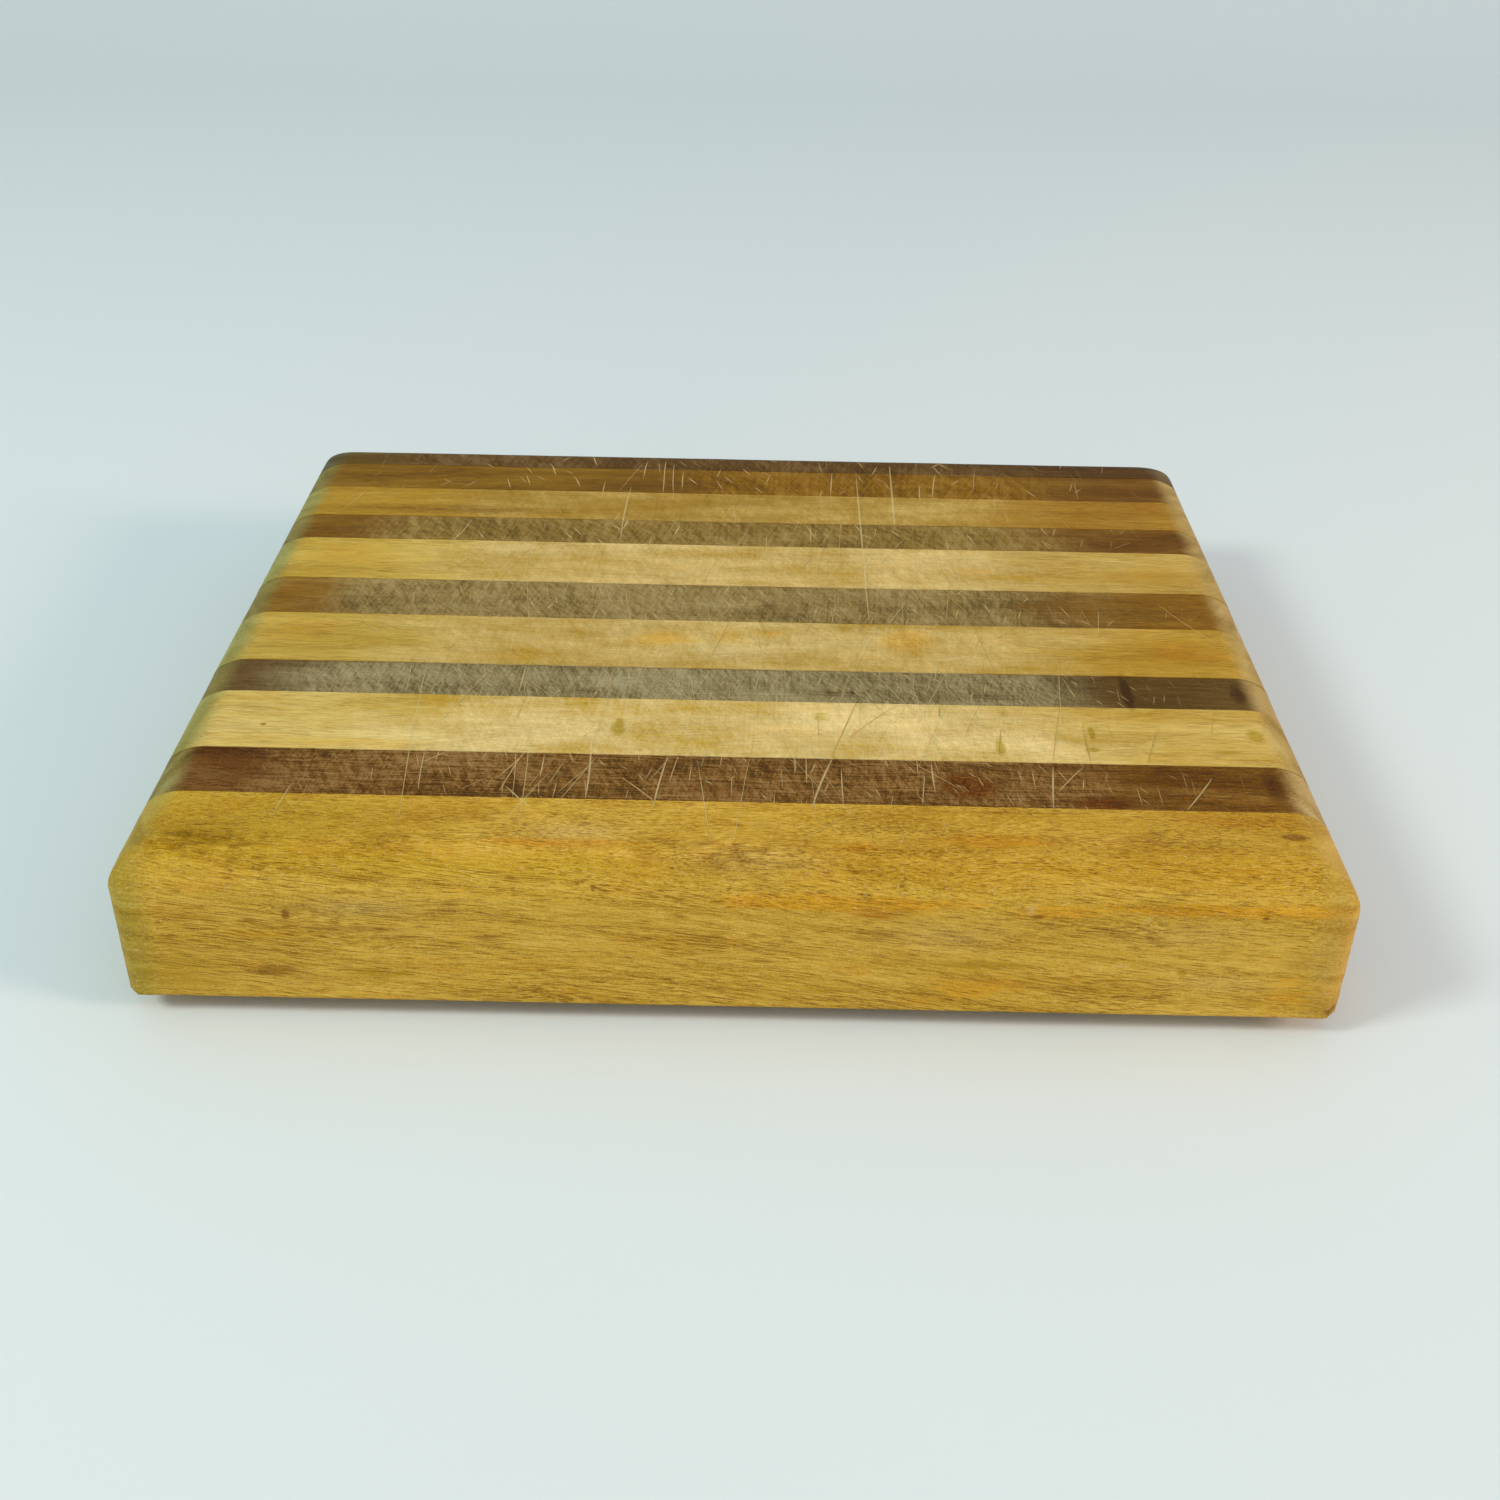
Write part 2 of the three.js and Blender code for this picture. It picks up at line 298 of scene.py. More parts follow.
# ---------------- knife cuts
# The deepest cuts: x, y of the middle, degrees from +Y towards +X, length, half width, dirt.
MAIN_CUTS = (
    (-87, -62, -4, 104, 0.24, 0.1), (-81.9, -86, -4, 20, 0.22, 0), (-114.8, -101, 6, 16, 0.2, 0),
    (-79.5, -79.5, 45, 9, 0.22, 0), (-55.3, -86, -3, 48, 0.2, 0.1), (-59, -83, 25, 14, 0.24, 0),
    (-58.6, -86, 12, 20, 0.24, 0), (-55.5, -97.5, -38, 13, 0.3, 0), (-51, -83, 0, 12, 0.26, 0),
    (-39, -83.5, -2, 31, 0.4, 0), (-37, -50, 2, 38, 0.24, 0.2), (-19.7, -89.5, 6, 27, 0.36, 0),
    (-16.5, -83, 8, 14, 0.2, 0), (-25, -93.5, -40, 16, 0.24, 0.1), (-61.5, -38, 1, 17, 0.3, 0),
    (22.2, -88, 14, 26, 0.42, 0), (28.5, -62, 15, 30, 0.34, 0.9), (36, -58, 38, 22, 0.24, 0.9),
    (81.8, -88, 7, 22, 0.36, 0), (86, -62, 11, 30, 0.24, 0.8), (51, -84.5, 0, 15, 0.3, 0),
    (15, -80, 0, 9, 0.24, 0), (18, -82.5, 0, 13, 0.24, 0), (27.2, -89.5, 0, 17, 0.24, 0),
    (48, -90.5, 6, 15, 0.22, 0), (119.2, -90, 32, 19, 0.3, 0), (86.8, -84.5, 34, 15, 0.24, 0),
    (110.8, -68, 18, 19, 0.24, 0.9), (93.5, -66, 2, 20, 0.26, 1), (70.2, -67, 8, 13, 0.28, 1),
    (55.2, -52, 3, 7, 0.34, 1), (38, 53, 0, 118, 0.42, 0), (49.8, 91, 1, 54, 0.44, 0),
    (29.2, 99, 3, 20, 0.34, 0), (64.8, 99, 7, 21, 0.34, 0), (-28.8, 103, -1, 30, 0.3, 0),
    (-25.5, 101, -2, 26, 0.26, 0), (-40, 72, 1, 46, 0.34, 0), (-63, 76, -14, 14, 0.3, 0.8),
    (63.5, 30, -12, 14, 0.3, 0.8), (-92, 58, 12, 16, 0.28, 0),
)
# How many random cuts each strip has from front to back, and the share with dirt on light ones.
CUT_COUNTS = (8, 19, 15, 31, 13, 36, 13, 16, 6, 4, 0)
LIGHT_STRIP_DIRT = 0.75
CUT_SEED = 417
BEND_SEED = 5


def random_cuts():
    """The deepest cuts and the seeded random ones, each as in MAIN_CUTS."""
    rng = np.random.default_rng(CUT_SEED)
    cuts = [tuple(cut) for cut in MAIN_CUTS]
    for place, (name, count) in enumerate(zip(STRIPS, CUT_COUNTS)):
        low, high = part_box(name)
        light = place % 2 == 0
        for _ in range(count):
            x = float(np.clip(rng.normal(2, 60), -132, 134))
            y = float(rng.uniform(low.y, high.y) / MM)
            angle = float(rng.normal(4, 13))
            if rng.random() < 0.2:
                angle = float(rng.normal(32, 14) * rng.choice((-1, 1, 1, 1, 1)))
            length = float(np.clip(rng.gamma(2.4, 7.5), 4, 60))
            width = float(rng.uniform(0.09, 0.17))
            dirt = float(rng.random() < LIGHT_STRIP_DIRT) if light else 0.0
            cuts.append((x, y, angle, length, width, dirt * rng.uniform(0.4, 1)))
    return cuts


class Cut:
    """One knife cut: a gently bent line with a V-shaped groove that fades at both ends."""

    STATIONS = np.array((0.0, 0.08, 0.3, 0.5, 0.7, 0.92, 1.0))

    def __init__(self, x, y, angle, length, width, dirt, bend):
        along = np.array((math.sin(math.radians(angle)), math.cos(math.radians(angle))))
        self.across = np.array((along[1], -along[0]))
        t = self.STATIONS
        bow = bend * (1 - (2 * t - 1) ** 2)
        self.line = (
            np.array((x, y))
            + np.outer((t - 0.5) * length, along)
            + np.outer(bow, self.across)
        )
        self.half = 0.95 * width * np.sqrt(np.clip(1 - (2 * t - 1) ** 4, 0.02, 1))
        self.depth = 0.7 * width + 0.05
        self.dirt = dirt

    def lines(self):
        side = self.across * self.half[:, None]
        return (self.line, self.line + side, self.line - side)

    def groove(self, x, y):
        """1 in the bottom of the groove, falling to 0 at its lips."""
        best = np.zeros(len(x))
        for i in range(len(self.line) - 1):
            start, end = self.line[i], self.line[i + 1]
            step = end - start
            t = ((x - start[0]) * step[0] + (y - start[1]) * step[1]) / (step @ step)
            t = np.clip(t, 0, 1)
            away = np.hypot(x - start[0] - t * step[0], y - start[1] - t * step[1])
            half = self.half[i] * (1 - t) + self.half[i + 1] * t
            fade = half / self.half.max()
            best = np.maximum(best, fade * (1 - away / half))
        return np.clip(best, 0, 1)


def make_cuts():
    rng = np.random.default_rng(BEND_SEED)
    return [
        Cut(*values, bend=float(rng.normal(0, 0.01)) * values[3]) for values in random_cuts()
    ]


CUTS = make_cuts()


def clipped(start, end, box):
    """The stretch of a segment inside a box (x0, x1, y0, y1), or None."""
    low, high = 0.0, 1.0
    for axis in (0, 1):
        step = end[axis] - start[axis]
        for edge, sign in ((box[2 * axis], 1), (box[2 * axis + 1], -1)):
            room = sign * (start[axis] - edge)
            rate = sign * step
            if abs(rate) < 1e-12:
                if room < 0:
                    return None
            elif rate > 0:
                low = max(low, -room / rate)
            else:
                high = min(high, -room / rate)
    if high - low < 1e-6:
        return None
    step = end - start
    return start + low * step, start + high * step


def cut_depths(x, y):
    """The groove's depth, how deep it is beside its own deepest, and its dirt."""
    depth = np.zeros(len(x))
    share = np.zeros(len(x))
    dirt = np.zeros(len(x))
    for cut in CUTS:
        low, high = cut.line.min(0) - 0.6, cut.line.max(0) + 0.6
        near = np.nonzero((x > low[0]) & (x < high[0]) & (y > low[1]) & (y < high[1]))[0]
        if not len(near):
            continue
        groove = cut.groove(x[near], y[near])
        dirt[near] = np.where(groove > share[near], cut.dirt, dirt[near])
        share[near] = np.maximum(share[near], groove)
        depth[near] = np.maximum(depth[near], groove * cut.depth)
    return depth, share, dirt


# ---------------- pieces of the board
def outward_reach(core_x, core_y, azimuth, inset):
    """How far from each core point the outline set in by `inset` lies, along an azimuth."""
    low = np.zeros(len(core_x))
    high = np.full(len(core_x), ROUND_OVER + 3)
    for _ in range(40):
        middle = (low + high) / 2
        x = core_x + middle * np.cos(azimuth)
        y = core_y + middle * np.sin(azimuth)
        inside = rim_distance(x, y) > inset
        low = np.where(inside, middle, low)
        high = np.where(inside, high, middle)
    return (low + high) / 2


class Skin:
    """Vertices, faces and vertex values of one piece while it is built."""

    def __init__(self):
        self.points = []
        self.values = []
        self.faces = []
        self.flat = []
        self.count = 0

    def add(self, points, values):
        first = self.count
        self.points.append(points)
        self.values.append(values)
        self.count += len(points)
        return first

    def grid(self, rows, columns, first):
        for i in range(rows - 1):
            for j in range(columns - 1):
                a = first + i * columns + j
                quad = (a, a + 1, a + 1 + columns, a + columns)
                self.faces.append(quad[::-1])
                self.flat.append(False)


def values_of(x, end, cut=0.0, dirt=0.0, rim=1.0):
    """The vertex values that the wood reads, for as many points as x has: see VALUE_NAMES."""
    n = len(x)
    return np.stack(
        [np.broadcast_to(np.asarray(v, float), (n,)) for v in (end, cut, dirt, rim)], 1
    )


VALUE_NAMES = ("end_grain", "cut", "cut_dirt", "rim")


def edge_band(skin, core_x, core_y, azimuth, drop, steps=(ARC_STEPS, WALL_STEPS)):
    """The rounded-over edge, the upright side and the eased bottom edge along a path."""
    arc_steps, wall_steps = steps
    rows = []
    values = []
    reach_out = outward_reach(core_x, core_y, azimuth, 0.0)
    for step in range(arc_steps + 1):
        angle = (math.pi / 2) * (1 - step / arc_steps)
        inset = ROUND_OVER * (1 - math.cos(angle))
        reach = outward_reach(core_x, core_y, azimuth, inset) if step else 0 * core_x
        if step == arc_steps:
            reach = reach_out
        x = core_x + reach * np.cos(azimuth)
        y = core_y + reach * np.sin(azimuth)
        z = TOP - round_drop(rim_distance(x, y))
        if step == arc_steps:
            z = np.full(len(x), TOP - ROUND_OVER)
        rows.append((x, y, z, np.full(len(x), angle)))
    wall_top = TOP - ROUND_OVER
    wall_bottom = UNDERSIDE + BOTTOM_EASE
    for step in range(1, wall_steps + 1):
        z = wall_top + (wall_bottom - wall_top) * step / wall_steps
        x, y = rows[arc_steps][0], rows[arc_steps][1]
        rows.append((x, y, np.full(len(x), z), np.zeros(len(x))))
    for step in range(1, EASE_STEPS + 1):
        angle = (math.pi / 2) * step / EASE_STEPS
        reach = reach_out - BOTTOM_EASE * (1 - math.cos(angle))
        x = core_x + reach * np.cos(azimuth)
        y = core_y + reach * np.sin(azimuth)
        z = wall_bottom - BOTTOM_EASE * math.sin(angle)
        rows.append((x, y, np.full(len(x), z), np.full(len(x), -angle)))
    points = []
    for x, y, z, angle in rows:
        normal = np.stack(
            [np.cos(azimuth) * np.cos(angle), np.sin(azimuth) * np.cos(angle), np.sin(angle)],
            1,
        )
        slope = 1 - np.clip(np.sin(angle), 0, 1)
        depth = (worn_depth(x, y) + drop) * np.clip(np.sin(angle), 0, 1)
        depth = depth + edge_relief(x, y, z) * np.clip(slope * 3, 0, 1)
        depth = depth + torn_grain(x, y, z) * (angle > 0)
        depth = np.where(angle < -0.1, 0.05, depth)
        point = np.stack([x, y, z], 1) - normal * depth[:, None]
        point[:, 2] = np.maximum(point[:, 2], UNDERSIDE + 0.02)
        points.append(point)
        end = np.abs(normal[:, 0])
        rim = np.clip(np.sin(angle), 0, 1)
        values.append(values_of(x, end, rim=1 - rim))
    first = skin.add(np.concatenate(points), np.concatenate(values))
    skin.grid(len(rows), len(core_x), first)
    columns = len(core_x)
    last = len(rows) - 1
    return {
        "first": [first + r * columns for r in range(last + 1)],
        "last": [first + r * columns + columns - 1 for r in range(last + 1)],
        "bottom": [first + last * columns + c for c in range(columns)],
    }


def stations(low, high, step):
    return np.linspace(low, high, max(2, int(round((high - low) / step)) + 1))


def flat_top(skin, low_y, high_y, open_low, open_high, drop):
    """The flat of the top, with each knife cut's lips and bottom as edges of the mesh."""
    xs = stations(-FLAT_X, FLAT_X, EDGE_GRID if open_low else FRONT_EDGE_GRID)
    ys = stations(low_y, high_y, SIDE_GRID)
    border = [(x, low_y) for x in xs] + [(FLAT_X, y) for y in ys[1:-1]]
    border += [(x, high_y) for x in xs[::-1]] + [(-FLAT_X, y) for y in ys[1:-1][::-1]]
    points = [tuple(map(float, p)) for p in border]
    edges = [(i, (i + 1) % len(points)) for i in range(len(points))]
    rng = np.random.default_rng(int(abs(low_y) * 10) + 3)
    grid = GRID if open_low else FRONT_EDGE_GRID * 1.3
    inner_x = stations(-FLAT_X + grid, FLAT_X - grid, grid)
    if high_y - low_y > 2 * grid:
        inner_y = stations(low_y + grid * 0.7, high_y - grid * 0.7, grid)
        gx, gy = np.meshgrid(inner_x, inner_y)
        gx = gx + rng.uniform(-0.3, 0.3, gx.shape)
        gy = gy + rng.uniform(-0.3, 0.3, gy.shape)
        points += list(zip(gx.ravel().tolist(), gy.ravel().tolist()))
    inside = (
        -FLAT_X + CUT_MARGIN,
        FLAT_X - CUT_MARGIN,
        low_y if open_low else low_y + CUT_MARGIN,
        high_y if open_high else high_y - CUT_MARGIN,
    )
    for cut in CUTS:
        for line in cut.lines():
            for start, end in zip(line[:-1], line[1:]):
                part = clipped(start, end, inside)
                if part is not None:
                    points += [tuple(map(float, part[0])), tuple(map(float, part[1]))]
                    edges.append((len(points) - 2, len(points) - 1))
    for kind, mark_x, mark_y, mark_z, size_x, size_y, *rest in MARKS:
        if mark_z < TOP_Z - 1 or min(size_x, size_y) > 2 * GRID:
            continue
        for step_x in MARK_GRID:
            for step_y in MARK_GRID:
                x, y = mark_x + step_x * size_x, mark_y + step_y * size_y
                if inside[0] < x < inside[1] and low_y + 0.4 < y < high_y - 0.4:
                    points.append((float(x), float(y)))
    made, _, faces, _, _, _ = delaunay_2d_cdt(
        [Vector(p) for p in points], edges, [], 0, 1e-4, False
    )
    flat = np.array([tuple(v) for v in made], float)
    x, y = flat[:, 0], flat[:, 1]
    depth, share, dirt = cut_depths(x, y)
    on_flat = (np.abs(x) < FLAT_X - SEAM) & (np.abs(y) < FLAT_Y - SEAM)
    height = TOP - round_drop(rim_distance(x, y)) - worn_depth(x, y) - drop
    height = height - depth * on_flat - torn_grain(x, y, np.full(len(x), TOP))
    first = skin.add(np.stack([x, y, height], 1), values_of(x, 0.0, share, dirt, rim=0.0))
    for face in faces:
        skin.faces.append(tuple(first + i for i in face))
        skin.flat.append(False)
    along_low = [i for i in np.argsort(x) if abs(y[i] - low_y) < 1e-3]
    along_high = [i for i in np.argsort(x) if abs(y[i] - high_y) < 1e-3]
    return [first + i for i in along_low], [first + i for i in along_high], ys, xs


def board_piece(name, low_y, high_y, drop):
    """A strip or a glue line: one closed body between two joint planes."""
    skin = Skin()
    front = low_y < -HALF_Y + 1
    back = high_y > HALF_Y - 1
    flat_low = -FLAT_Y if front else low_y
    flat_high = FLAT_Y if back else high_y
    low_line, high_line, ys, xs = flat_top(
        skin, flat_low, flat_high, not front, not back, drop
    )
    right = (np.full(len(ys), FLAT_X), ys, np.zeros(len(ys)))
    left = (np.full(len(ys), -FLAT_X), ys[::-1], np.full(len(ys), math.pi))

    def fan(x, y, start):
        azimuth = start + (math.pi / 2) * np.arange(1, FAN_STEPS) / FAN_STEPS
        return (np.full(len(azimuth), x), np.full(len(azimuth), y), azimuth)

    def joined(*parts):
        return [np.concatenate(column) for column in zip(*parts)]

    def run(x_values, y, azimuth):
        size = len(x_values)
        return (x_values, np.full(size, y), np.full(size, azimuth))

    if front:
        path = joined(
            left,
            fan(-FLAT_X, -FLAT_Y, math.pi),
            run(xs, -FLAT_Y, 1.5 * math.pi),
            fan(FLAT_X, -FLAT_Y, 1.5 * math.pi),
            (right[0], right[1], np.full(len(ys), 2 * math.pi)),
        )
        band = edge_band(skin, *path, drop, (FRONT_ARC_STEPS, FRONT_WALL_STEPS))
        ring = band["first"][::-1] + high_line + band["last"]
        skin.faces += [tuple(ring), tuple(band["bottom"])]
    elif back:
        path = joined(
            right,
            fan(FLAT_X, FLAT_Y, 0.0),
            run(xs[::-1], FLAT_Y, 0.5 * math.pi),
            fan(-FLAT_X, FLAT_Y, 0.5 * math.pi),
            left,
        )
        band = edge_band(skin, *path, drop)
        ring = band["last"][::-1] + low_line + band["first"]
        skin.faces += [tuple(ring), tuple(band["bottom"])]
    else:
        right_band = edge_band(skin, *right, drop)
        left_band = edge_band(skin, *left, drop)
        low_ring = left_band["last"][::-1] + low_line + right_band["first"]
        high_ring = left_band["first"][::-1] + high_line + right_band["last"]
        bottom = right_band["bottom"] + left_band["bottom"]
        skin.faces += [tuple(low_ring), tuple(high_ring), tuple(bottom)]
    skin.flat += [True] * (len(skin.faces) - len(skin.flat))
    return to_object(name, skin)


# In metres.
WELD_DISTANCE = 2e-6
SLIVER_DISTANCE = 1e-7


def to_object(name, skin):
    """The finished mesh object, with the vertex values and marks that the wood reads."""
    points = np.concatenate(skin.points) * MM
    values = np.concatenate(skin.values)
    mesh = bpy.data.meshes.new(name + "_shape")
    bm = bmesh.new()
    marks = marks_at(points / MM)
    values = np.column_stack([values] + list(marks.values()))
    layers = [bm.verts.layers.float.new(value) for value in (*VALUE_NAMES, *marks)]
    verts = []
    for point, value in zip(points, values):
        vert = bm.verts.new(point)
        for layer, number in zip(layers, value):
            vert[layer] = number
        verts.append(vert)
    for face, flat in zip(skin.faces, skin.flat):
        made = bm.faces.new([verts[i] for i in face])
        made.smooth = not flat
    bmesh.ops.remove_doubles(bm, verts=bm.verts, dist=WELD_DISTANCE)
    bmesh.ops.dissolve_degenerate(bm, edges=bm.edges, dist=SLIVER_DISTANCE)
    bmesh.ops.recalc_face_normals(bm, faces=bm.faces)
    for edge in bm.edges:
        if len(edge.link_faces) == 2 and edge.link_faces[0].smooth != edge.link_faces[1].smooth:
            edge.smooth = False
    bm.to_mesh(mesh)
    open_edges = sum(1 for edge in bm.edges if len(edge.link_faces) != 2)
    bm.free()
    if open_edges:
        print("open edges in", name, open_edges)
    piece = bpy.data.objects.new(name, mesh)
    bpy.context.scene.collection.objects.link(piece)
    return piece


# ---------------- materials
def linear(value):
    v = value / 255
    return v / 12.92 if v <= 0.04045 else ((v + 0.055) / 1.055) ** 2.4


def srgb(red, green, blue):
    """An 8-bit screen colour as a linear one."""
    return (linear(red), linear(green), linear(blue), 1.0)


def shades(colour, contrast, fall=(0.24, 0.30, 0.60), rise=(27, 29, 32)):
    """A dark, a middle and a light version of an 8-bit screen colour."""
    dark = [max(value * (1 - contrast * share), 3) for value, share in zip(colour, fall)]
    light = [min(value + contrast * step, 252) for value, step in zip(colour, rise)]
    return [(0.0, srgb(*dark)), (0.5, srgb(*colour)), (1.0, srgb(*light))]


class Tree:
    """A short way to write node trees: arguments are sockets or plain numbers."""

    def __init__(self, tree):
        self.tree = tree

    def node(self, kind, **settings):
        made = self.tree.nodes.new(kind)
        for key, value in settings.items():
            setattr(made, key, value)
        return made

    def place(self):
        """Each point's place on the object, in metres."""
        return self.node("ShaderNodeTexCoord").outputs["Object"]

    def feed(self, socket, value):
        if isinstance(value, bpy.types.NodeSocket):
            self.tree.links.new(value, socket)
        elif value is not None:
            socket.default_value = value

    def math(self, operation, a, b=None, c=None):
        made = self.node("ShaderNodeMath", operation=operation)
        for socket, value in zip(made.inputs, (a, b, c)):
            self.feed(socket, value)
        return made.outputs[0]

    def vector(self, operation, a, b=None):
        made = self.node("ShaderNodeVectorMath", operation=operation)
        self.feed(made.inputs[0], a)
        self.feed(made.inputs[1], b)
        return made.outputs["Value"] if operation == "LENGTH" else made.outputs[0]

    def turn(self, vector, y=0.0, z=0.0):
        made = self.node("ShaderNodeVectorRotate", rotation_type="EULER_XYZ")
        self.feed(made.inputs["Vector"], vector)
        made.inputs["Rotation"].default_value = (0.0, math.radians(y), math.radians(z))
        return made.outputs[0]

    def noise(self, vector, stretch, detail=2.0, roughness=0.5, colour=False):
        made = self.noise_node("3D", detail, roughness)
        self.feed(made.inputs["Vector"], self.vector("MULTIPLY", vector, stretch))
        return made.outputs["Color" if colour else "Fac"]

    def noise_line(self, value, detail, roughness):
        made = self.noise_node("1D", detail, roughness)
        self.feed(made.inputs["W"], value)
        return made.outputs["Fac"]

    def noise_node(self, dimensions, detail, roughness):
        made = self.node("ShaderNodeTexNoise", noise_dimensions=dimensions)
        numbers = (("Scale", 1.0), ("Detail", detail), ("Roughness", roughness))
        for key, number in numbers:
            made.inputs[key].default_value = number
        return made

    def cells(self, vector):
        made = self.node("ShaderNodeTexVoronoi", voronoi_dimensions="2D")
        self.feed(made.inputs["Vector"], vector)
        made.inputs["Scale"].default_value = 1.0
        return made.outputs["Distance"], made.outputs["Color"]

    def span(self, value, low, high, to_low=0.0, to_high=1.0):
        made = self.node("ShaderNodeMapRange", interpolation_type="SMOOTHSTEP")
        self.feed(made.inputs["Value"], value)
        numbers = (("From Min", low), ("From Max", high))
        numbers += (("To Min", to_low), ("To Max", to_high))
        for key, number in numbers:
            self.feed(made.inputs[key], number)
        return made.outputs["Result"]

    def blend(self, start, *parts):
        """A start value plus each part's distance from 0.5 times its weight."""
        total = start
        for value, weight in parts:
            total = self.math("MULTIPLY_ADD", value, weight, total)
            total = self.math("SUBTRACT", total, weight / 2)
        return total

    def mix(self, share, a, b, blend="MIX"):
        made = self.node("ShaderNodeMix", data_type="RGBA", blend_type=blend)
        self.feed(made.inputs[0], share)
        self.feed(made.inputs[6], a)
        self.feed(made.inputs[7], b)
        return made.outputs[2]

    def ramp(self, value, stops):
        made = self.node("ShaderNodeValToRGB")
        elements = made.color_ramp.elements
        for place, (position, colour) in enumerate(stops):
            element = elements[place] if place < 2 else elements.new(position)
            element.position = position
            element.color = colour
        self.feed(made.inputs[0], value)
        return made.outputs[0]

    def attribute(self, name):
        return self.node("ShaderNodeAttribute", attribute_name=name).outputs["Fac"]

    def bump(self, height, strength, distance):
        made = self.node("ShaderNodeBump")
        made.inputs["Strength"].default_value = strength
        made.inputs["Distance"].default_value = distance
        self.feed(made.inputs["Height"], height)
        return made.outputs[0]

    def surface(self, colour, roughness, normal=None):
        made = self.node("ShaderNodeBsdfPrincipled")
        for key, value in (("Base Color", colour), ("Roughness", roughness), ("Normal", normal)):
            self.feed(made.inputs[key], value)
        self.feed(self.node("ShaderNodeOutputMaterial").inputs[0], made.outputs[0])
        return made

    def split(self, vector):
        made = self.node("ShaderNodeSeparateXYZ")
        self.feed(made.inputs[0], vector)
        return made.outputs


def new_material(name):
    """An empty material and its node tree."""
    material = bpy.data.materials.new(name)
    material.use_nodes = True
    material.node_tree.nodes.clear()
    return material, Tree(material.node_tree)


# Hairline scratches: turn about Z, cell size across and along, thickness, share kept.
HAIRLINE_LAYERS = (
    (1, 1.9, 70, 0.085, 0.3),
    (-6, 2.3, 55, 0.075, 0.34),
    (-17, 2.0, 42, 0.085, 0.38),
    (12, 2.9, 50, 0.065, 0.36),
    (-29, 2.6, 36, 0.07, 0.38),
    (-47, 3.6, 36, 0.055, 0.36),
    (34, 3.8, 36, 0.055, 0.32),
)
# Scuffing: turn about Z, fineness across and along, share.
SCUFF_LAYERS = (
    (3, 1.5, 0.045),
    (-24, 1.3, 0.04),
    (19, 1.7, 0.05),
    (-47, 1.1, 0.06),
    (-12, 0.5, 0.03),
)


def hairline_group():
    """Fine straight knife lines and brushed scuffing, from a position in millimetres."""
    group = bpy.data.node_groups.new("hairlines", "ShaderNodeTree")
    group.interface.new_socket("Vector", in_out="INPUT", socket_type="NodeSocketVector")
    for name in ("Lines", "Scuffs"):
        group.interface.new_socket(name, in_out="OUTPUT", socket_type="NodeSocketFloat")
    t = Tree(group)
    place = t.node("NodeGroupInput").outputs[0]
    bend = t.noise(place, (0.02, 0.02, 0.0), 1.0, colour=True)
    bend = t.vector("MULTIPLY", t.vector("SUBTRACT", bend, (0.5, 0.5, 0.5)), (5.0, 5.0, 0.0))
    bent = t.vector("ADD", place, bend)
    total = None
    for number, (angle, across, along, thickness, kept) in enumerate(HAIRLINE_LAYERS):
        turned = t.turn(bent, z=angle)
        cell = t.vector("MULTIPLY", turned, (1 / across, 1 / along, 0.0))
        cell = t.vector("ADD", cell, (number * 7.3, number * 3.1, 0.0))
        distance, colour = t.cells(cell)
        line = t.span(distance, thickness, thickness * 0.3)
        parts = t.split(colour)
        keep = t.math("LESS_THAN", parts[0], kept)
        strength = t.math("MULTIPLY_ADD", parts[1], 0.8, 0.2)
        line = t.math("MULTIPLY", t.math("MULTIPLY", line, keep), strength)
        total = line if total is None else t.math("MAXIMUM", total, line)
    scuffs = 0.5
    for angle, across, along in SCUFF_LAYERS:
        turned = t.turn(bent, z=angle)
        layer = t.noise(turned, (across, along, 0.0), 2.0, 0.5)
        scuffs = t.blend(scuffs, (layer, 0.9))
    out = t.node("NodeGroupOutput")
    t.feed(out.inputs[0], total)
    t.feed(out.inputs[1], scuffs)
    return group


HAIRLINES = hairline_group()


# Where, along X in millimetres, the left end's colour starts and has finished changing.
FADE_ACROSS = (-90.0, 95.0)
WOOD_BUMP_STRENGTH = 0.6
WOOD_BUMP_HEIGHT = 0.0003
WOOD_SPECULAR = 0.04
# The tint that each kind of stain multiplies the wood by, and how strongly.
STAINS = {
    "warm": ((0.98, 0.79, 0.34, 1.0), 0.85),
    "olive": ((0.66, 0.62, 0.22, 1.0), 0.9),
    "dark": ((0.46, 0.36, 0.25, 1.0), 0.9),
    "red": ((0.64, 0.36, 0.06, 1.0), 0.85),
}


